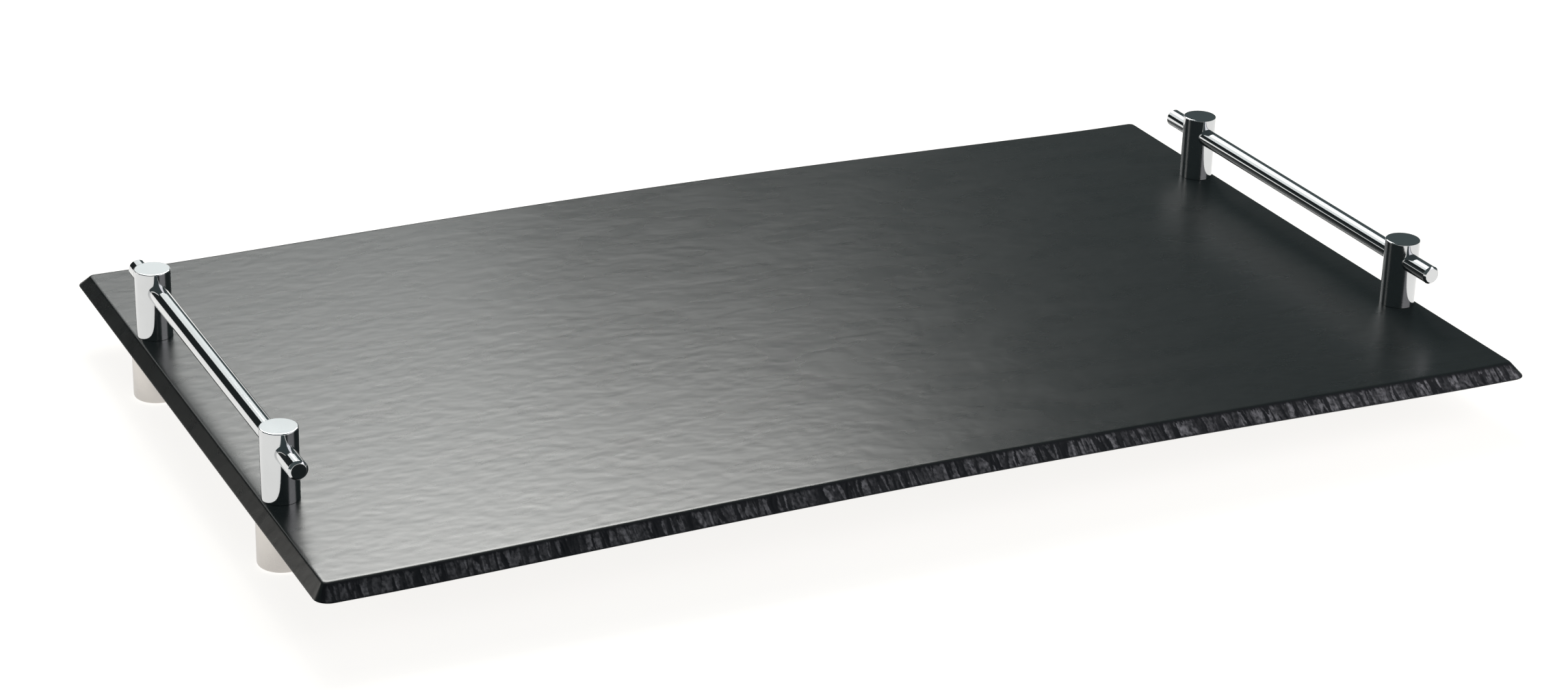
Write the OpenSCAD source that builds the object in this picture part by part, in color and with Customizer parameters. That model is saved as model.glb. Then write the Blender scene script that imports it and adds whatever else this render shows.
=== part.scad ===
// Serving tray: a slate-look melamine board on four feet, with a carrying rail at each short end.
// Millimetres, +Z up, origin on the table under the middle of the board.

/* [Board] */
// Length of the board at its bottom edge
board_l = 530; // [400:5:600]
// Width of the board at its bottom edge
board_w = 325; // [240:5:400]
// Height of the board's side
board_h = 5.4; // [5:0.2:12]
// Thickness of the panel over the hollow underside
panel_t = 4; // [2.5:0.5:4.5]
// How far the long sides lean in between bottom and top
long_bevel = 7; // [2:0.2:9]
// How far the short ends lean in between bottom and top
end_bevel = 4.6; // [2:0.2:6]
// How much higher the middle of the board is than its ends
crown_h = 3; // [0:0.5:6]
// Corner radius along the bottom edge
corner_r = 6; // [4:0.5:12]
// Corner radius along the top edge
top_corner_r = 2; // [1:0.5:4]
// Edge break along the top and bottom edges
edge_break = 0.4; // [0.3:0.1:1]
// Width of the solid rim left along each long side of the underside
rim_w = 8; // [6:0.5:20]

/* [Rails and posts] */
// Diameter of a post
post_d = 15; // [12:0.5:18]
// Distance between the two posts of a rail, axis to axis
post_span = 166; // [120:2:200]
// Gap between a post and the edge break at the board's end
post_edge_gap = 0.1; // [0.1:0.1:10]
// Diameter of a rail
rail_d = 8; // [6:0.5:9]
// Height of a rail's axis above the board
rail_h = 21; // [18:0.5:40]
// Length of a rail past the axis of each post
rail_overhang = 23; // [12:1:30]
// Height of a post above its rail
post_cap = 4.5; // [2:0.5:10]
// Edge break on the posts' tops
post_break = 0.4; // [0.2:0.1:1]
// Edge break on the rails' ends
rail_break = 0.9; // [0.3:0.1:1.5]

/* [Feet and pads] */
// Height of the board's underside above the table
stand_h = 22.5; // [16:0.5:45]
// Diameter of a foot
foot_d = 20; // [17:0.5:30]
// Rounding on a foot's lower edge
foot_round = 1.2; // [0.4:0.2:1.6]
// Thickness of metal between the fixing screw's head and the board
foot_web = 6.5; // [3:0.5:8]
// Diameter of a pad
pad_d = 15; // [11:0.5:15.5]
// Thickness of a pad
pad_t = 2; // [1.2:0.2:3]
// How far a pad stands out of its foot
pad_proud = 0.6; // [0.3:0.1:1]

/* [Screws] */
// Thread diameter of the fixing screws and grub screws
screw_d = 5; // [4:0.5:6]
// Diameter of a fixing screw's head
head_d = 8.5; // [7.5:0.5:9]
// Height of a fixing screw's head
head_h = 5; // [3:0.5:6]
// Hexagon key size of a fixing screw, across flats
head_key = 4; // [2:0.5:5]
// Length of a grub screw
grub_l = 5; // [3:0.5:7]
// Hexagon key size of a grub screw, across flats
grub_key = 2.5; // [1:0.5:2.5]

/* [Clearances] */
// Radial play of a rail in its posts
rail_play = 0.05; // [0.02:0.01:0.2]
// Radial play of a screw in its thread
thread_play = 0.05; // [0.02:0.01:0.1]
// Radial play of a fixing screw in the board and the foot
screw_play = 0.25; // [0.1:0.05:0.5]
// Radial play around a fixing screw's head
head_play = 0.5; // [0.2:0.1:1]
// Radial play of a pad in its recess
pad_play = 0.1; // [0.05:0.05:0.3]
// Gap between a grub screw and the rail it is driven against
grub_gap = 0.05; // [0.02:0.01:0.2]
// Empty thread left between a fixing screw and its grub screw
tip_room = 2; // [0.5:0.5:4]

/* [Hidden] */
$fn = 96;
// Steps along the crowned length and around a corner of the board
length_steps = 24;
corner_steps = 8;
round_steps = 6;
// Depth that a cut runs on past the surface it opens
past = 1;

board_z = stand_h;
top_z = board_z + board_h;
// The posts stand on the level top and the feet under the level bottom, both clear of the edge breaks
end_inset = max(end_bevel + post_d / 2, foot_d / 2) + edge_break + post_edge_gap;
post_x = board_l / 2 - end_inset;
post_y = post_span / 2;
// The board is level where it carries the posts and feet, and crowned between those bands
band_w = max(foot_d, post_d) / 2 + 2;
crown_x = post_x - band_w;
post_h = rail_h + rail_d / 2 + post_cap;
rail_z = top_z + rail_h;
rail_l = post_span + 2 * rail_overhang;
foot_z = pad_proud;
pad_seat_z = pad_t;
head_seat_z = stand_h - foot_web;
grub_top_z = rail_z - rail_d / 2 - grub_gap;
grub_z = grub_top_z - grub_l;
screw_tip_z = grub_z - tip_room;
// Share of a screw's head or body that its key recess takes
key_depth = 0.5;

sides = [["left", -1], ["right", 1]];
corners = [
    ["front_left", -1, -1],
    ["front_right", 1, -1],
    ["back_left", -1, 1],
    ["back_right", 1, 1]
];
kinds = ["post", "foot", "fixing_screw", "grub_screw", "foot_pad"];

// Rise of the crown at a distance x from the middle, level in slope where the bands begin
function crown(x) = abs(x) >= crown_x ? 0 : crown_h * pow(1 - pow(x / crown_x, 2), 1.5);

function arc(cx, cy, r, from, to, steps) =
    [for (i = [0:steps]) let (a = from + (to - from) * i / steps) [cx + r * cos(a), cy + r * sin(a)]];

// Front half of the board's outline, from its left end to its right end
function front_outline(half_l, half_w, r) = concat(
    arc(-half_l + r, -half_w + r, r, 180, 270, corner_steps),
    [for (i = [0:length_steps]) [crown_x * (2 * i / length_steps - 1), -half_w]],
    arc(half_l - r, -half_w + r, r, 270, 360, corner_steps)
);

// One closed ring round the board, set in from the bottom outline's ends and sides, and raised by the crown
function ring(end_in, side_in, r, z) =
    let (
        front = front_outline(board_l / 2 - end_in, board_w / 2 - side_in, r),
        last = len(front) - 1,
        back = [for (i = [last:-1:0]) [front[i].x, -front[i].y]]
    )
    [for (p = concat(front, back)) [p.x, p.y, z + crown(p.x)]];

// The board's outer form, skinned over rings from the top edge to the bottom edge
module board_form() {
    rings = [
        ring(end_bevel + edge_break, long_bevel + edge_break, top_corner_r, top_z),
        ring(end_bevel, long_bevel, top_corner_r + edge_break, top_z - edge_break),
        ring(0, 0, corner_r, board_z + edge_break),
        ring(edge_break, edge_break, corner_r - edge_break, board_z)
    ];
    n = len(rings[0]);
    low = (len(rings) - 1) * n;
    half = n / 2;
    top_faces = [for (i = [0:half - 2]) each [
        [i, n - 1 - i, i + 1],
        [i + 1, n - 1 - i, n - 2 - i]
    ]];
    bottom_faces = [for (f = top_faces) [low + f[0], low + f[2], low + f[1]]];
    side_faces = [for (k = [0:len(rings) - 2], i = [0:n - 1])
        let (a = k * n + i, b = k * n + (i + 1) % n) each [
            [a, b, a + n],
            [b, b + n, a + n]
        ]];
    polyhedron([for (r = rings) each r], concat(top_faces, bottom_faces, side_faces));
}

// Hollow of the underside, which leaves a panel of even thickness
module board_hollow() {
    ceiling = [for (i = [0:length_steps])
        let (x = crown_x * (1 - 2 * i / length_steps)) [x, top_z - panel_t + crown(x)]];
    rotate([90, 0, 0])
        linear_extrude(board_w - 2 * rim_w, center = true)
            polygon(concat([[-crown_x, board_z - past], [crown_x, board_z - past]], ceiling));
}

module at_corner(c) {
    translate([c[1] * post_x, c[2] * post_y, 0]) children();
}

// A hexagonal recess for a key, opening downwards at height z
module key_recess(across, z, depth) {
    translate([0, 0, z - past]) cylinder(d = across / cos(30), h = depth + past, $fn = 6);
}

module tray_board() {
    color("#3b3d3f") difference() {
        board_form();
        board_hollow();
        for (c = corners) at_corner(c)
            translate([0, 0, board_z - past])
                cylinder(r = screw_d / 2 + screw_play, h = board_h + 2 * past);
    }
}

module rail(s) {
    r = rail_d / 2;
    half = rail_l / 2;
    color("#c9ccd0") translate([s[1] * post_x, 0, rail_z]) rotate([90, 0, 0])
        rotate_extrude() polygon([
            [0, -half],
            [r - rail_break, -half],
            [r, rail_break - half],
            [r, half - rail_break],
            [r - rail_break, half],
            [0, half]
        ]);
}

module post(c) {
    r = post_d / 2;
    color("#d4d7da") at_corner(c) difference() {
        translate([0, 0, top_z]) rotate_extrude() polygon([
            [0, 0],
            [r, 0],
            [r, post_h - post_break],
            [r - post_break, post_h],
            [0, post_h]
        ]);
        translate([0, 0, rail_z]) rotate([90, 0, 0])
            cylinder(r = rail_d / 2 + rail_play, h = post_d + 2 * past, center = true);
        translate([0, 0, top_z - past])
            cylinder(r = screw_d / 2 + thread_play, h = rail_h + past);
    }
}

module foot(c) {
    r = foot_d / 2;
    edge = arc(r - foot_round, foot_z + foot_round, foot_round, -90, 0, round_steps);
    color("#bfc0c0") at_corner(c) difference() {
        rotate_extrude() polygon(concat([[0, foot_z]], edge, [[r, stand_h], [0, stand_h]]));
        translate([0, 0, foot_z - past])
            cylinder(r = pad_d / 2 + pad_play, h = pad_seat_z - foot_z + past);
        translate([0, 0, foot_z]) cylinder(r = head_d / 2 + head_play, h = head_seat_z - foot_z);
        translate([0, 0, foot_z]) cylinder(r = screw_d / 2 + screw_play, h = stand_h - foot_z + past);
    }
}

module fixing_screw(c) {
    color("#8f9194") at_corner(c) difference() {
        union() {
            translate([0, 0, head_seat_z - head_h]) cylinder(d = head_d, h = head_h);
            translate([0, 0, head_seat_z - head_h])
                cylinder(d = screw_d, h = screw_tip_z - head_seat_z + head_h);
        }
        key_recess(head_key, head_seat_z - head_h, head_h * key_depth);
    }
}

module grub_screw(c) {
    color("#4a4b4d") at_corner(c) difference() {
        translate([0, 0, grub_z]) cylinder(d = screw_d, h = grub_l);
        key_recess(grub_key, grub_z, grub_l * key_depth);
    }
}

module foot_pad(c) {
    color("#d9d8d2") at_corner(c) cylinder(d = pad_d, h = pad_t);
}

tray_board();
for (s = sides) {
    rail(s);
}
for (c = corners) {
    post(c);
    foot(c);
    fixing_screw(c);
    grub_screw(c);
    foot_pad(c);
}
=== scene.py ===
"""A slate-look melamine serving tray with chrome rails, on a white studio floor."""
import math

import bpy
import numpy as np
from mathutils import Matrix, Vector, noise


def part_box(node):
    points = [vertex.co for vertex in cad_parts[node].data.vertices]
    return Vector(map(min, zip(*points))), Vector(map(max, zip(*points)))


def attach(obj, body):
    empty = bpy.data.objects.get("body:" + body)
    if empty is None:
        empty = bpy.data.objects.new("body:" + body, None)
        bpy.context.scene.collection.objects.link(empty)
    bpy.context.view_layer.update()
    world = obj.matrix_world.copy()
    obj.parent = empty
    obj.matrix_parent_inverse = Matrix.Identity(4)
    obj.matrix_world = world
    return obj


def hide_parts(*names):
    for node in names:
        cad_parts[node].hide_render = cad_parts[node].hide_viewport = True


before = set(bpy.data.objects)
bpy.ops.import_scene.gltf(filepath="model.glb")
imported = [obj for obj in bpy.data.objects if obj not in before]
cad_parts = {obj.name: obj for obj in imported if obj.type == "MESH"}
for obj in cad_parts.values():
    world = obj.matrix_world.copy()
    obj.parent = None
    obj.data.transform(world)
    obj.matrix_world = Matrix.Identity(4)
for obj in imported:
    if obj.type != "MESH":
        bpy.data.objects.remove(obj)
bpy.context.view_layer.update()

MM = 0.001
SIDES = ("left", "right")
CORNERS = ("front_left", "front_right", "back_left", "back_right")

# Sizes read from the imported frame, in metres
board_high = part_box("tray_board")[1]
post_low, post_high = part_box("post_front_left")
foot_low, foot_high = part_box("foot_front_left")
pad_low, pad_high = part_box("foot_pad_front_left")
rail_low, rail_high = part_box("rail_left")
BOARD_HALF_L = board_high.x
BOARD_HALF_W = board_high.y
BOARD_TOP = post_low.z
UNDERSIDE = foot_high.z
SIDE_H = BOARD_TOP - UNDERSIDE
CROWN_H = board_high.z - BOARD_TOP
POST_R = (post_high.x - post_low.x) / 2
FOOT_R = (foot_high.x - foot_low.x) / 2
PAD_R = (pad_high.x - pad_low.x) / 2
RAIL_R = (rail_high.x - rail_low.x) / 2
RAIL_HALF_L = (rail_high.y - rail_low.y) / 2
POST_X = -(post_low.x + post_high.x) / 2
BAND_MARGIN = 2 * MM
CROWN_HALF_L = POST_X - FOOT_R - BAND_MARGIN

# The board's moulded form
LONG_BEVEL = 7 * MM
END_BEVEL = 4.6 * MM
EDGE_R = 0.9 * MM
CORNER_R = 6 * MM
TOP_CORNER_R = 2 * MM
PANEL_T = 4 * MM
RIM_W = 8 * MM

# Rounded edges of the turned pieces, in the order of their profiles
POST_EDGES = (0.15 * MM, 0.5 * MM)
FOOT_EDGES = (0.1 * MM, 0.2 * MM, 1.2 * MM, 0.3 * MM)
PAD_EDGES = (0.4 * MM, 0.1 * MM)
PAD_PLAY = 0.1 * MM
RAIL_CHAMFER = 0.9 * MM
RAIL_EDGE = 0.15 * MM

# Angles in degrees above which an edge shades sharp
BOARD_SHARP = 35
TURNED_SHARP = 60

# Grid of the board's mesh
CORNER_STEPS = 6
LONG_CELLS = 220
FINE_PER_CELL = 8
FINE_CELLS = LONG_CELLS * FINE_PER_CELL
SHORT_CELLS = 160
BEVEL_ROWS = 18
EDGE_ROWS = 3

# Points along a ring's long and short sides, and where its right, back and left sides start
LONG_N = FINE_CELLS + 2 * CORNER_STEPS
SHORT_N = SHORT_CELLS + 2 * CORNER_STEPS
RIGHT = LONG_N
BACK = LONG_N + SHORT_N
LEFT = BACK + LONG_N
RING_N = LEFT + SHORT_N

# Ripples of the top
RIPPLE_H = 0.014 * MM
RIPPLE_X = 22 * MM
RIPPLE_Y = 8 * MM
RIPPLE_FADE = 5 * MM
RIPPLE_OCTAVES = 2
RIPPLE_FINER = 2.0
RIPPLE_FALLOFF = 1.0

# Chips along the two long edges: layers of half width and depth, and ranges for each flake in shares of those
CHIP_SEED = 11
CHIP_LAYERS = ((0.6 * MM, 0.26 * MM), (1.1 * MM, 0.42 * MM))
CHIP_WIDTH = (0.6, 1.5)
CHIP_LEAN = (-2, 2)
CHIP_BOW = (-4, 4)
CHIP_DEPTH = (0.4, 1.0)
CHIP_SPACING = (0.9, 2.1)

# Heights on the chipped sides, in shares of the side's height, and how much of the painted highlight the left
# end's chips keep, as the chips are painted paler towards the right end where the light falls
CHIP_MIDDLE = (0.35, 0.5)
CHIP_RISE = (0.35, 0.6)
CHIP_REACH = (0.02, 0.9)
CHIP_FADE = 0.14
LEFT_PAINTED_LIGHT_SHARE = 0.5

# Camera at the photograph's place, in metres, degrees and pixels
PHOTO_W = 2292
CAMERA_AT = Vector((-0.6148, -1.2461, 0.5945 + BOARD_TOP))
CAMERA_AZIMUTH = -26.174
CAMERA_ELEVATION = 23.606
CAMERA_ROLL = 1.656
FOCAL_PX = 5202.3
SENSOR_MM = 36
VIEW_REACH = 100

# Floor and room of the studio
FLOOR_HALF = 30.0
FLOOR_GLOW = 0.88
SURROUND = (0.082, 0.105, 0.108)
DARK_GAP = (0.018, 0.022, 0.023)
DARK_TOWARDS = Vector((-0.3, 0.9, 0.3)).normalized()
DARK_REACH = (0.85, 0.94)

# Places and sizes of the lamps, in metres
LAMP_AIM = Vector((-0.06, 0, BOARD_TOP))
KEY_AT = Vector((0.33, 1.365, 1.261 + BOARD_TOP))
KEY_SIZE = (0.879, 0.7)
BACK_AT = Vector((-0.053, 0.972, 0.924 + BOARD_TOP))
BACK_SIZE = (0.847, 1.325)
FRONT_AT = Vector((0.55, -0.65, 0.45 + BOARD_TOP))
FRONT_SIZE = (0.8, 0.6)
LEFT_AT = Vector((-0.8, 0.48, 0.22 + BOARD_TOP))
LEFT_SIZE = (0.32, 0.34)

rng = np.random.RandomState(CHIP_SEED)


def crown(x):
    """Rise of the board's middle over its level ends."""
    share = np.clip(np.abs(x) / CROWN_HALF_L, 0, 1)
    return CROWN_H * (1 - share ** 2) ** 1.5


def side_points(half_along, half_out, r, steps):
    """One side of a rounded rectangle from corner middle to corner middle, as (along, out) pairs."""
    turn = np.linspace(math.pi / 4, 0, CORNER_STEPS + 1)
    start = np.c_[-(half_along - r) - r * np.sin(turn), half_out - r + r * np.cos(turn)]
    straight = np.linspace(-(half_along - r), half_along - r, steps + 1)[1:-1]
    middle_part = np.c_[straight, np.full(len(straight), half_out)]
    end = start[::-1] * (-1, 1)
    return np.r_[start, middle_part, end]


def outline(end_in, side_in, r):
    """A closed outline of the board, set in from its bottom edge, from the front left corner round."""
    half_l = BOARD_HALF_L - end_in
    half_w = BOARD_HALF_W - side_in
    long_side = side_points(half_l, half_w, r, FINE_CELLS)[:-1]
    short_side = side_points(half_w, half_l, r, SHORT_CELLS)[:-1]
    front = long_side * (1, -1)
    right = short_side[:, ::-1]
    return np.r_[front, right, -front, -right]


def bezier(a, b, c, steps):
    """Points of a rounded edge from a to c about the corner b."""
    t = np.linspace(0, 1, steps + 1)[:, None]
    return (1 - t) ** 2 * np.array(a) + 2 * t * (1 - t) * np.array(b) + t ** 2 * np.array(c)


def side_profile(bevel):
    """A side of the board as (inset, height) pairs from its level top to its bottom."""
    drop = EDGE_R / 2
    slope = bevel / SIDE_H
    top = bezier((bevel + EDGE_R, SIDE_H), (bevel, SIDE_H), (bevel - slope * drop, SIDE_H - drop), EDGE_ROWS)
    bottom = bezier((slope * drop, drop), (0, 0), (EDGE_R, 0), EDGE_ROWS)
    t = np.linspace(0, 1, BEVEL_ROWS + 1)[1:-1, None]
    slant = top[-1] * (1 - t) + bottom[0] * t
    return np.r_[top, slant, bottom]


def chip_flakes(along, share):
    """Depth and paleness of the flakes chipped off a long side, by height and by place along it; the paleness
    is partly the chips' own lighter tone and partly painted highlight, painted stronger towards the right
    end.
    """
    depth = np.zeros((len(share), len(along)))
    pale_and_painted_highlight = np.zeros_like(depth)
    height = share[:, None]
    for half_width, deepest in CHIP_LAYERS:
        centre = along.min()
        while centre < along.max():
            half = half_width * rng.uniform(*CHIP_WIDTH)
            lean = rng.uniform(*CHIP_LEAN) * half
            bow = rng.uniform(*CHIP_BOW) * half
            rise = height - rng.uniform(*CHIP_MIDDLE)
            across = (along[None] - centre - lean * rise - bow * rise ** 2) / half
            up = rise / rng.uniform(*CHIP_RISE)
            flake = deepest * rng.uniform(*CHIP_DEPTH) * (1 - across ** 2 - up ** 2)
            wins = flake > depth
            depth[wins] = flake[wins]
            # The flake's paleness: partly the melamine's own whitened tone, partly painted highlight standing
            # in for light caught by its facets
            pale_and_painted_highlight[wins] = rng.uniform(0, 1) ** 2
            centre += half * rng.uniform(*CHIP_SPACING)
    whole_edges = np.clip(np.minimum(height - CHIP_REACH[0], CHIP_REACH[1] - height) / CHIP_FADE, 0, 1)
    # Painted light: the chips are painted paler towards the right end, where the light falls on them
    painted_light_to_right = LEFT_PAINTED_LIGHT_SHARE + (1 - LEFT_PAINTED_LIGHT_SHARE) * (along - along.min()) / np.ptp(along)
    return depth * whole_edges, pale_and_painted_highlight * whole_edges * painted_light_to_right


def board_rings():
    """Rings of points down the board's side, and how pale each point of a chipped side is, partly its own
    tone and partly painted highlight.
    """
    ends = side_profile(END_BEVEL)
    sides = side_profile(LONG_BEVEL)
    rings = []
    for (end_in, height), (side_in, _) in zip(ends, sides):
        r = CORNER_R + (TOP_CORNER_R - CORNER_R) * height / SIDE_H
        flat = outline(end_in, side_in, r)
        rings.append(np.c_[flat, UNDERSIDE + height + crown(flat[:, 0])])
    rings = np.array(rings)
    pale_and_painted_highlight = np.zeros(rings.shape[:2])
    for first, sign in ((0, -1), (BACK, 1)):
        columns = np.arange(first, first + LONG_N)
        along = rings[-1, columns, 0]
        depth, tone = chip_flakes(along, sides[:, 1] / SIDE_H)
        pale_and_painted_highlight[:, columns] = tone
        rings[:, columns, 1] -= sign * depth
    return rings, pale_and_painted_highlight


def top_grid(edge):
    """Points of the rippled top inside its edge ring, and the ring points that its columns and rows meet."""
    keep = np.r_[np.arange(1, CORNER_STEPS),
                 np.arange(CORNER_STEPS, CORNER_STEPS + FINE_CELLS + 1, FINE_PER_CELL),
                 np.arange(CORNER_STEPS + FINE_CELLS + 1, LONG_N)]
    rows = np.arange(1, SHORT_N)
    grid_x, grid_y = np.meshgrid(edge[keep, 0], edge[RIGHT + rows, 1])
    lift = np.zeros(grid_x.shape)
    for index in np.ndindex(lift.shape):
        place = Vector((grid_x[index] / RIPPLE_X, grid_y[index] / RIPPLE_Y, 0))
        lift[index] = noise.fractal(place, RIPPLE_FALLOFF, RIPPLE_FINER, RIPPLE_OCTAVES)
    from_end = BOARD_HALF_L - END_BEVEL - np.abs(grid_x)
    from_side = BOARD_HALF_W - LONG_BEVEL - np.abs(grid_y)
    lift *= RIPPLE_H * np.clip(np.minimum(from_end, from_side) / RIPPLE_FADE, 0, 1)
    points = np.stack([grid_x, grid_y, BOARD_TOP + crown(grid_x) + lift], axis=-1)
    return points, keep, rows


def grid_faces(points, keep, rows, base):
    """Faces of the top grid, and the collar between it and the edge ring."""
    n_rows, n_cols = points.shape[:2]
    last_row = n_rows - 1
    last_col = n_cols - 1

    def at(row, col):
        return base + row * n_cols + col

    faces = []
    for row in range(last_row):
        for col in range(last_col):
            faces.append((at(row, col), at(row, col + 1), at(row + 1, col + 1), at(row + 1, col)))
    for col in range(last_col):
        a, b = keep[col], keep[col + 1]
        faces.append(tuple(range(a, b + 1)) + (at(0, col + 1), at(0, col)))
        faces.append(tuple(range(LEFT - b, LEFT - a + 1)) + (at(last_row, col), at(last_row, col + 1)))
    for row in range(last_row):
        a, b = rows[row], rows[row + 1]
        faces.append((RIGHT + a, RIGHT + b, at(row + 1, last_col), at(row, last_col)))
        faces.append((RING_N - b, RING_N - a, at(row, 0), at(row + 1, 0)))
    inner_corners = (at(0, 0), at(0, last_col), at(last_row, last_col), at(last_row, 0))
    for corner, inner in zip((0, RIGHT, BACK, LEFT), inner_corners):
        faces.append(((corner - 1) % RING_N, corner, (corner + 1) % RING_N, inner))
    return faces


def hollow_rings(edge):
    """Rings from the bottom edge across the rim and up the hollow underside to its ceiling."""
    half_w = BOARD_HALF_W - RIM_W
    flat = edge[:, :2] * (CROWN_HALF_L / np.abs(edge[:, 0]).max(), half_w / np.abs(edge[:, 1]).max())
    rise = crown(flat[:, 0])
    rim = np.c_[flat, UNDERSIDE + rise]
    ceiling = np.c_[flat, BOARD_TOP - PANEL_T + rise]
    return np.array([rim, ceiling])


def strip_faces(base):
    """The ceiling of the hollow, as strips from front to back."""
    faces = []
    for i in range(1, LONG_N - 1):
        faces.append((base + i, base + LEFT - i, base + LEFT - i - 1, base + i + 1))
    for first in (RIGHT, LEFT):
        end_points = [base + (first - 1 + k) % RING_N for k in range(SHORT_N + 3)]
        faces.append(tuple(reversed(end_points)))
    return faces


def mark_points(mesh, name, values):
    """Stores a value for each of a mesh's first points, and none for the rest."""
    marks = np.zeros(len(mesh.vertices))
    marks[:values.size] = values.ravel()
    mesh.attributes.new(name, "FLOAT", "POINT").data.foreach_set("value", marks)


def build_board():
    """The moulded board: rippled top, chipped long edges, smooth short edges and a hollow underside."""
    rings, pale_and_painted_highlight = board_rings()
    all_rings = np.r_[rings, hollow_rings(rings[-1])]
    points, keep, rows = top_grid(rings[0])
    verts = np.r_[all_rings.reshape(-1, 3), points.reshape(-1, 3)]
    faces = []
    for k in range(len(all_rings) - 1):
        for i in range(RING_N):
            j = (i + 1) % RING_N
            faces.append((k * RING_N + i, (k + 1) * RING_N + i, (k + 1) * RING_N + j, k * RING_N + j))
    faces += grid_faces(points, keep, rows, len(all_rings) * RING_N)
    faces += strip_faces((len(all_rings) - 1) * RING_N)
    mesh = bpy.data.meshes.new("slate_board")
    mesh.from_pydata(verts.tolist(), [], faces)
    mesh.update()
    chipped = np.zeros(pale_and_painted_highlight.shape)
    for first in (0, BACK):
        chipped[EDGE_ROWS:-EDGE_ROWS, first:first + LONG_N] = 1
    # Stores the chips' paleness, partly their own tone and partly painted highlight
    mark_points(mesh, "chip_pale_and_highlight", pale_and_painted_highlight)
    mark_points(mesh, "chipped_side", chipped)
    return finish_piece("slate_board", mesh, BOARD_SHARP, "tray_board")


def finish_piece(name, mesh, sharp_angle, node):
    """Shades a mesh smooth up to an angle and puts it in the scene in place of its CAD node."""
    mesh.shade_smooth()
    mesh.set_sharp_from_angle(angle=math.radians(sharp_angle))
    piece = bpy.data.objects.new(name, mesh)
    bpy.context.scene.collection.objects.link(piece)
    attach(piece, "root")
    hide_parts(node)
    return piece


def rounded_profile(points, radii, steps=5):
    """An outline of (radius, height) points whose inner corners are rounded by the given distances."""
    out = [np.array(points[0])]
    for before, here, after, size in zip(points, points[1:], points[2:], radii):
        here = np.array(here)
        to_before = np.array(before) - here
        to_after = np.array(after) - here
        start = here + to_before / np.linalg.norm(to_before) * size
        stop = here + to_after / np.linalg.norm(to_after) * size
        out += list(bezier(start, here, stop, steps))
    out.append(np.array(points[-1]))
    return np.array(out)


def lathe(name, profile, segments=144):
    """A mesh turned about Z from a profile that begins and ends on the axis."""
    angles = np.linspace(0, 2 * math.pi, segments, endpoint=False)
    body = profile[1:-1]
    verts = [(r * math.cos(a), r * math.sin(a), z) for r, z in body for a in angles]
    faces = []
    for k in range(len(body) - 1):
        low = k * segments
        high = low + segments
        for i in range(segments):
            j = (i + 1) % segments
            faces.append((low + i, low + j, high + j, high + i))
    faces.append(tuple(range(segments))[::-1])
    faces.append(tuple(range((len(body) - 1) * segments, len(body) * segments)))
    mesh = bpy.data.meshes.new(name)
    mesh.from_pydata(verts, [], faces)
    mesh.update()
    return mesh


def middle(node):
    """Centre of a CAD node's box."""
    low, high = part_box(node)
    return (low + high) / 2


def keep_flats_flat(piece):
    """Weights normals by face area, so that flat and straight faces shade true beside rounded edges."""
    weighted = piece.modifiers.new("flat_faces", "WEIGHTED_NORMAL")
    weighted.keep_sharp = True
    weighted.weight = 100


def turned_piece(name, profile, node):
    """A piece turned about the upright axis of the CAD node that it replaces."""
    mesh = lathe(name, profile)
    place = middle(node)
    mesh.transform(Matrix.Translation((place.x, place.y, 0)))
    piece = finish_piece(name, mesh, TURNED_SHARP, node)
    keep_flats_flat(piece)
    return piece


def build_post(corner):
    """A turned post with a softly broken top edge."""
    low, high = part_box(f"post_{corner}")
    profile = rounded_profile([(0, low.z), (POST_R, low.z), (POST_R, high.z), (0, high.z)], POST_EDGES)
    return turned_piece(f"chrome_post_{corner}", profile, f"post_{corner}")


def build_rail(side):
    """A round rail with chamfered ends."""
    end = RAIL_HALF_L
    tip_r = RAIL_R - RAIL_CHAMFER
    shoulder = end - RAIL_CHAMFER
    profile = rounded_profile(
        [(0, -end), (tip_r, -end), (RAIL_R, -shoulder), (RAIL_R, shoulder), (tip_r, end), (0, end)],
        [RAIL_EDGE] * 4, steps=3)
    mesh = lathe(f"chrome_rail_{side}", profile)
    mesh.transform(Matrix.Translation(middle(f"rail_{side}")) @ Matrix.Rotation(math.radians(90), 4, "X"))
    piece = finish_piece(f"chrome_rail_{side}", mesh, TURNED_SHARP, f"rail_{side}")
    keep_flats_flat(piece)
    return piece


def build_foot(corner):
    """A turned foot with a rounded lower edge and a recess for its pad."""
    low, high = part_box(f"foot_{corner}")
    recess_r = PAD_R + PAD_PLAY
    recess_z = pad_high.z
    profile = rounded_profile(
        [(0, recess_z), (recess_r, recess_z), (recess_r, low.z),
         (FOOT_R, low.z), (FOOT_R, high.z), (0, high.z)],
        FOOT_EDGES)
    return turned_piece(f"metal_foot_{corner}", profile, f"foot_{corner}")


def build_pad(corner):
    """A soft round pad with an eased lower edge."""
    low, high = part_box(f"foot_pad_{corner}")
    profile = rounded_profile([(0, low.z), (PAD_R, low.z), (PAD_R, high.z), (0, high.z)], PAD_EDGES)
    return turned_piece(f"soft_pad_{corner}", profile, f"foot_pad_{corner}")


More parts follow.
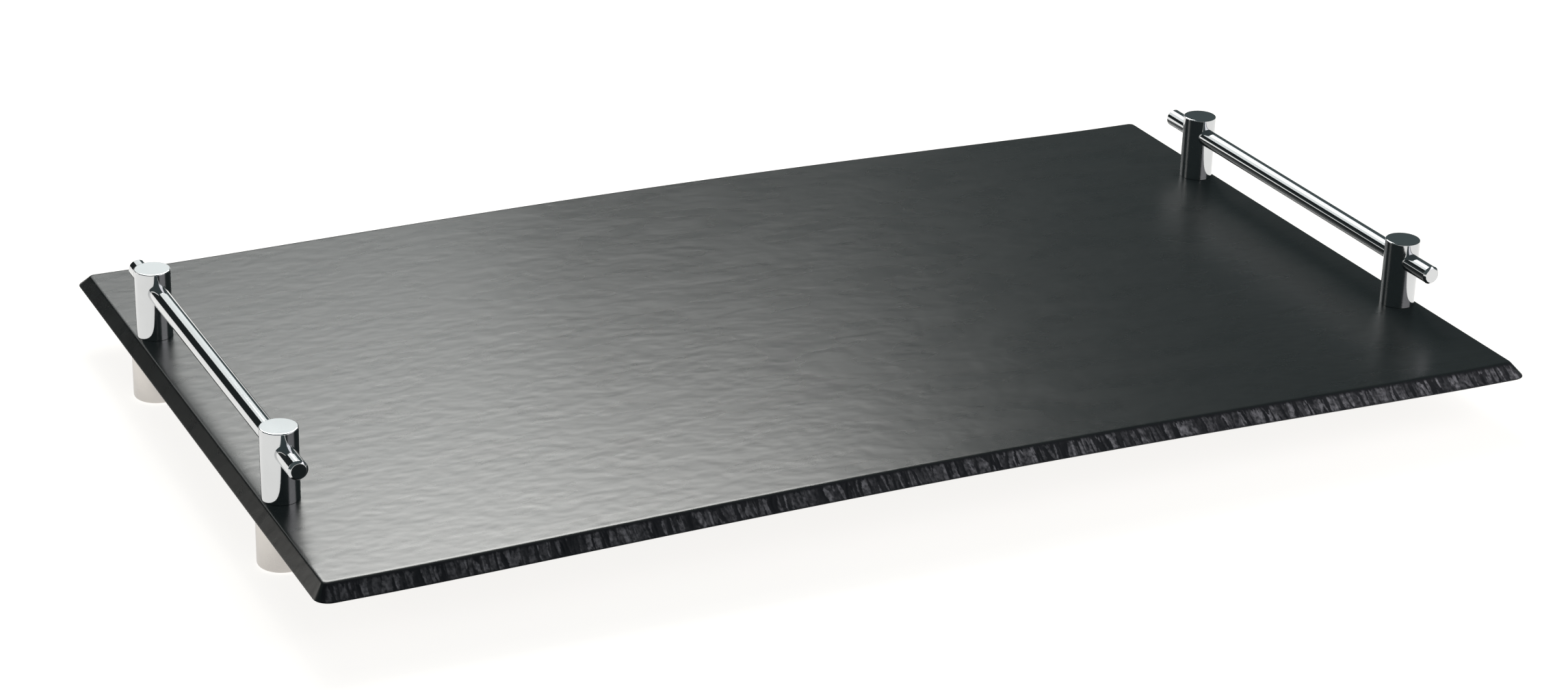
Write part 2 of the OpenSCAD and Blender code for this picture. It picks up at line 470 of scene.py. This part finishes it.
class Nodes:
    """The node tree of a material or the world, with short ways to add and join nodes."""

    def __init__(self, owner, shader="Principled BSDF"):
        owner.use_nodes = True
        self.owner = owner
        self.tree = owner.node_tree
        self.shader = self.tree.nodes[shader]

    def add(self, kind, **settings):
        """A new node with the given settings."""
        node = self.tree.nodes.new(kind)
        for key, value in settings.items():
            setattr(node, key, value)
        return node

    def feed(self, socket, value):
        """Joins an output to a socket, or sets the socket to a plain value."""
        if isinstance(value, bpy.types.NodeSocket):
            self.tree.links.new(value, socket)
        else:
            socket.default_value = value

    def set(self, **values):
        """Feeds the shader's sockets by name."""
        for key, value in values.items():
            self.feed(self.shader.inputs[key.replace("_", " ")], value)

    def place(self, stretch):
        """Coordinates in the object's frame, stretched along its axes."""
        coords = self.add("ShaderNodeTexCoord")
        mapping = self.add("ShaderNodeMapping")
        self.feed(mapping.inputs["Scale"], stretch)
        self.feed(mapping.inputs["Vector"], coords.outputs["Object"])
        return mapping.outputs["Vector"]

    def noise(self, scale, detail, stretch=(1, 1, 1)):
        """Noise in the object's frame, with a scale in waves per metre."""
        texture = self.add("ShaderNodeTexNoise")
        self.feed(texture.inputs["Scale"], scale)
        self.feed(texture.inputs["Detail"], detail)
        self.feed(texture.inputs["Vector"], self.place(stretch))
        return texture.outputs["Fac"]

    def span(self, value, low, high, start=0.3, stop=0.7):
        """Maps a value between start and stop onto low to high."""
        node = self.add("ShaderNodeMapRange")
        self.feed(node.inputs["From Min"], start)
        self.feed(node.inputs["From Max"], stop)
        self.feed(node.inputs["To Min"], low)
        self.feed(node.inputs["To Max"], high)
        self.feed(node.inputs["Value"], value)
        return node.outputs["Result"]

    def math(self, operation, *values):
        """A calculation on outputs and plain numbers."""
        node = self.add("ShaderNodeMath", operation=operation)
        for socket, value in zip(node.inputs, values):
            self.feed(socket, value)
        return node.outputs[0]

    def blend(self, factor, low, high):
        """Mixes two colours, each a colour or an output."""
        node = self.add("ShaderNodeMix", data_type="RGBA")
        self.feed(node.inputs["Factor"], factor)
        for value, name in ((low, "A"), (high, "B")):
            socket = next(s for s in node.inputs if s.name == name and s.type == "RGBA")
            self.feed(socket, (*value, 1) if isinstance(value, tuple) else value)
        return next(s for s in node.outputs if s.type == "RGBA")

    def bump(self, height, strength, distance, below=None):
        """A bump over the plain surface or over another bump."""
        node = self.add("ShaderNodeBump")
        self.feed(node.inputs["Strength"], strength)
        self.feed(node.inputs["Distance"], distance)
        self.feed(node.inputs["Height"], height)
        if below is not None:
            self.feed(node.inputs["Normal"], below)
        return node.outputs["Normal"]

    def attribute(self, name):
        """A value stored on the mesh's points."""
        return self.add("ShaderNodeAttribute", attribute_name=name).outputs["Fac"]


def melamine():
    """Satin anthracite melamine: faint streaks on top, black flakes on the chipped sides and paler ones that
    are partly their own tone and partly painted highlight.
    """
    n = Nodes(bpy.data.materials.new("slate_melamine"))
    streak = n.noise(scale=175, detail=1, stretch=(0.66, 1, 1))
    swell = n.noise(scale=70, detail=2, stretch=(0.4, 1, 1))
    grain = n.noise(scale=1500, detail=2, stretch=(0.6, 1, 1))
    speck = n.noise(scale=700, detail=3, stretch=(1, 1, 0.4))
    side = n.attribute("chipped_side")
    # Paler flakes: partly their own tone, partly painted highlight that is painted stronger towards the right
    # end
    flake = n.math("MULTIPLY", n.attribute("chip_pale_and_highlight"), n.span(speck, 0.2, 1, start=0.35, stop=0.65))
    tone = n.blend(n.span(streak, 0, 1), low=(0.0088, 0.0113, 0.0116), high=(0.011, 0.014, 0.0144))
    chipped = n.blend(flake, low=(0.006, 0.0072, 0.011), high=(0.45, 0.43, 0.46))
    rougher_side = 0.27
    swelling = n.bump(swell, strength=1.0, distance=0.03 * MM)
    streaky = n.bump(streak, strength=1.0, distance=0.096 * MM, below=swelling)
    n.set(Base_Color=n.blend(side, tone, chipped),
          Roughness=n.math("MULTIPLY_ADD", side, rougher_side, n.span(swell, 0.265, 0.29)),
          Normal=n.bump(grain, strength=0.5, distance=0.006 * MM, below=streaky),
          Specular_IOR_Level=n.span(side, 0.5, 0.22, start=0, stop=1),
          IOR=1.55)
    return n.owner


def chrome(name, tint):
    """Polished chrome with faint cloudiness and fine polishing lines."""
    n = Nodes(bpy.data.materials.new(name))
    cloud = n.noise(scale=60, detail=4)
    lines = n.noise(scale=1600, detail=2, stretch=(1, 0.15, 1))
    duller = tuple(0.94 * t for t in tint)
    n.set(Metallic=1.0,
          Base_Color=n.blend(n.span(cloud, 0, 1), low=duller, high=tint),
          Roughness=n.span(cloud, 0.035, 0.075),
          Normal=n.bump(lines, strength=0.02, distance=0.1 * MM))
    return n.owner


def satin_metal():
    """Satin plated metal with turning lines round the foot."""
    n = Nodes(bpy.data.materials.new("satin_metal"))
    cloud = n.noise(scale=90, detail=4)
    lines = n.noise(scale=2500, detail=2, stretch=(0.02, 0.02, 1))
    n.set(Metallic=1.0,
          Base_Color=n.blend(n.span(cloud, 0, 1), low=(0.56, 0.535, 0.51), high=(0.64, 0.61, 0.58)),
          Roughness=n.span(cloud, 0.26, 0.34),
          Normal=n.bump(lines, strength=0.06, distance=0.1 * MM))
    return n.owner


def soft_rubber():
    """Pale matt rubber with a fine moulded grain."""
    n = Nodes(bpy.data.materials.new("soft_rubber"))
    grain = n.noise(scale=1400, detail=4)
    n.set(Base_Color=n.blend(n.span(grain, 0, 1), low=(0.52, 0.51, 0.48), high=(0.6, 0.59, 0.56)),
          Roughness=n.span(grain, 0.62, 0.78),
          Normal=n.bump(grain, strength=0.2, distance=0.2 * MM))
    return n.owner


def plated_steel(name, low, high):
    """Plated screw steel with a slightly uneven coat."""
    n = Nodes(bpy.data.materials.new(name))
    coat = n.noise(scale=500, detail=4)
    n.set(Metallic=1.0,
          Base_Color=n.blend(n.span(coat, 0, 1), low, high),
          Roughness=n.span(coat, 0.3, 0.45),
          Normal=n.bump(coat, strength=0.1, distance=0.1 * MM))
    return n.owner


def white_floor():
    """Floor paper that shows as white to the camera and in reflections, and keeps the shadow."""
    n = Nodes(bpy.data.materials.new("white_floor"))
    paper = n.noise(scale=40, detail=2)
    path = n.add("ShaderNodeLightPath")
    seen = n.math("MAXIMUM", path.outputs["Is Camera Ray"], path.outputs["Is Glossy Ray"])
    shown = n.math("MAXIMUM", seen, path.outputs["Is Transmission Ray"])
    n.set(Base_Color=n.blend(paper, low=(0.45, 0.44, 0.425), high=(0.47, 0.46, 0.445)),
          Roughness=0.9,
          Specular_IOR_Level=0.0,
          Emission_Color=(1, 0.985, 0.965, 1),
          Emission_Strength=n.math("MULTIPLY", shown, FLOOR_GLOW))
    return n.owner


def studio_floor():
    """A wide level floor under the tray."""
    half = FLOOR_HALF
    mesh = bpy.data.meshes.new("studio_floor")
    floor_corners = [(-half, -half, 0), (half, -half, 0), (half, half, 0), (-half, half, 0)]
    mesh.from_pydata(floor_corners, [], [(0, 1, 2, 3)])
    floor = bpy.data.objects.new("studio_floor", mesh)
    bpy.context.scene.collection.objects.link(floor)
    mesh.materials.append(white_floor())


def studio_world():
    """A dim room round the white floor, with a dark gap behind on the left."""
    world = bpy.data.worlds.new("studio")
    n = Nodes(world, "Background")
    coords = n.add("ShaderNodeTexCoord")
    nearness = n.add("ShaderNodeVectorMath", operation="DOT_PRODUCT")
    n.feed(nearness.inputs[0], coords.outputs["Generated"])
    n.feed(nearness.inputs[1], DARK_TOWARDS)
    n.set(Color=n.blend(n.span(nearness.outputs["Value"], 0, 1, *DARK_REACH), SURROUND, DARK_GAP))
    bpy.context.scene.world = world


def softbox(name, at, size, radiance, tint):
    """A light panel aimed at the left half of the board, as bright as a surface of that radiance."""
    width, height = size
    data = bpy.data.lights.new(name, "AREA")
    data.shape = "RECTANGLE"
    data.size = width
    data.size_y = height
    data.energy = radiance * math.pi * width * height
    data.color = tint
    lamp = bpy.data.objects.new(name, data)
    bpy.context.scene.collection.objects.link(lamp)
    turn = (LAMP_AIM - at).to_track_quat("-Z", "Y")
    lamp.matrix_world = Matrix.Translation(at) @ turn.to_matrix().to_4x4()
    lamp.visible_camera = False
    return lamp


def limit_light(lamp, pieces, state):
    """Lets a lamp light only some pieces (INCLUDE) or all but those (EXCLUDE), as cards before a lamp do."""
    limited = bpy.data.collections.new(f"{lamp.name}_pieces")
    for piece in pieces:
        limited.objects.link(piece)
    lamp.light_linking.receiver_collection = limited
    for entry in limited.collection_objects:
        entry.light_linking.link_state = state


def photo_camera():
    """The camera at the photograph's place, turned and rolled as it was."""
    data = bpy.data.cameras.new("photo_camera")
    data.sensor_width = SENSOR_MM
    data.lens = FOCAL_PX / PHOTO_W * SENSOR_MM
    data.clip_end = VIEW_REACH
    camera = bpy.data.objects.new("photo_camera", data)
    bpy.context.scene.collection.objects.link(camera)
    a = math.radians(CAMERA_AZIMUTH)
    e = math.radians(CAMERA_ELEVATION)
    back = Vector((math.sin(a) * math.cos(e), -math.cos(a) * math.cos(e), math.sin(e)))
    right = Vector((0, 0, 1)).cross(back).normalized()
    up = back.cross(right)
    turn = Matrix((right, up, back)).transposed().to_4x4()
    roll = Matrix.Rotation(math.radians(CAMERA_ROLL), 4, "Z")
    camera.matrix_world = Matrix.Translation(CAMERA_AT) @ turn @ roll
    bpy.context.scene.camera = camera


board = build_board()
board.data.materials.append(melamine())
post_chrome = chrome("post_chrome", (0.6, 0.61, 0.62))
rail_chrome = chrome("rail_chrome", (0.62, 0.63, 0.64))
foot_metal = satin_metal()
pad_rubber = soft_rubber()
zinc = plated_steel("zinc_steel", low=(0.46, 0.47, 0.5), high=(0.58, 0.585, 0.6))
oxide = plated_steel("black_oxide_steel", low=(0.05, 0.05, 0.052), high=(0.09, 0.09, 0.095))
rails = {side: build_rail(side) for side in SIDES}
for rail in rails.values():
    rail.data.materials.append(rail_chrome)
posts = {corner: build_post(corner) for corner in CORNERS}
for corner in CORNERS:
    posts[corner].data.materials.append(post_chrome)
    build_foot(corner).data.materials.append(foot_metal)
    build_pad(corner).data.materials.append(pad_rubber)
    for kind, steel in (("fixing_screw", zinc), ("grub_screw", oxide)):
        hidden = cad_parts[f"{kind}_{corner}"].data
        hidden.materials.clear()
        hidden.materials.append(steel)

studio_floor()
studio_world()
key = softbox("key_light", KEY_AT, KEY_SIZE, radiance=9.6, tint=(1, 0.995, 0.965))
limit_light(key, [rails["right"]], "EXCLUDE")
rail_panel = softbox("rail_light", KEY_AT, KEY_SIZE, radiance=1.6, tint=(0.97, 0.99, 1))
limit_light(rail_panel, [rails["right"]], "INCLUDE")
softbox("back_light", BACK_AT, BACK_SIZE, radiance=1.15, tint=(0.97, 1, 0.985))
front = softbox("front_light", FRONT_AT, FRONT_SIZE, radiance=1.6, tint=(1, 0.97, 1))
limit_light(front, [posts["front_right"], posts["back_right"]], "EXCLUDE")
softbox("left_light", LEFT_AT, LEFT_SIZE, radiance=1.65, tint=(1, 0.97, 0.92))
photo_camera()
bpy.context.scene.view_settings.view_transform = "Standard"
